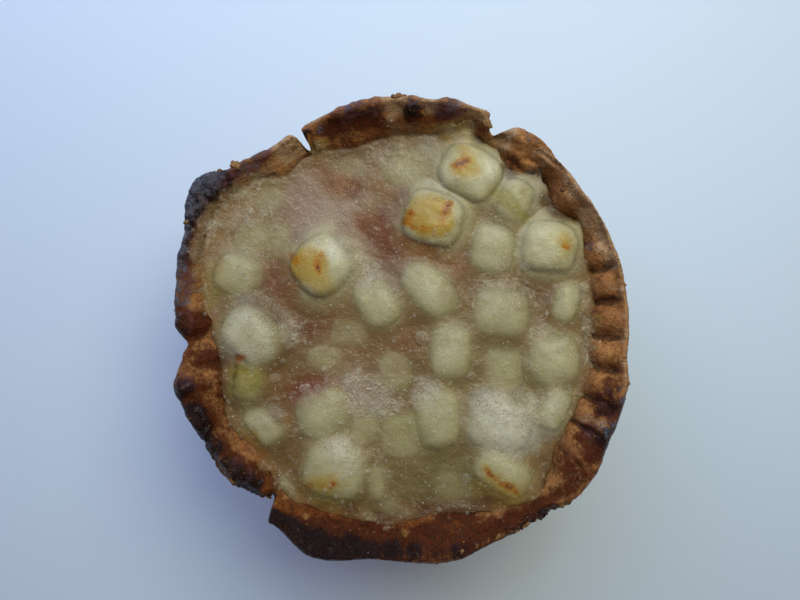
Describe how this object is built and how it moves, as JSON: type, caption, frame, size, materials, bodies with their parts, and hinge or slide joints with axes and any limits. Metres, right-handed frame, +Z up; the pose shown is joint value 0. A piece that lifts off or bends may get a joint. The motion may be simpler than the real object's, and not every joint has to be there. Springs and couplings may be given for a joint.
{
  "type": "pork and apple pie",
  "caption": "Open-topped raised pork pie with a crimped, scorched pastry rim, filled with pork under set jelly and diced apple; stands on its flat base.",
  "frame": {"origin": "middle of the flat base, on the surface the pie stands on", "axes": "+Z up from the base to the open top; +X towards the crisply crimped side of the rim; +Y towards the tall scorched flap of the rim"},
  "size_m": [0.0838, 0.0858, 0.0497],
  "materials": {
    "pastry": "baked pastry, satin on greasy crests and matt where scorched",
    "pork": "cooked coarse pork, moist",
    "jelly": "set savoury jelly, glossy and cloudy",
    "apple": "cooked apple, moist, toasted where it stands proud"
  },
  "bodies": {
    "root": {"crust": "pastry", "pork_filling": "pork", "jelly": "jelly", "apple_01": "apple", "apple_02": "apple", "apple_03": "apple", "apple_04": "apple", "apple_05": "apple", "apple_06": "apple", "apple_07": "apple", "apple_08": "apple", "apple_09": "apple", "apple_10": "apple", "apple_11": "apple", "apple_12": "apple", "apple_13": "apple", "apple_14": "apple", "apple_15": "apple", "apple_16": "apple", "apple_17": "apple", "apple_18": "apple", "apple_19": "apple", "apple_20": "apple", "apple_21": "apple", "apple_22": "apple"}
  },
  "joints": []
}
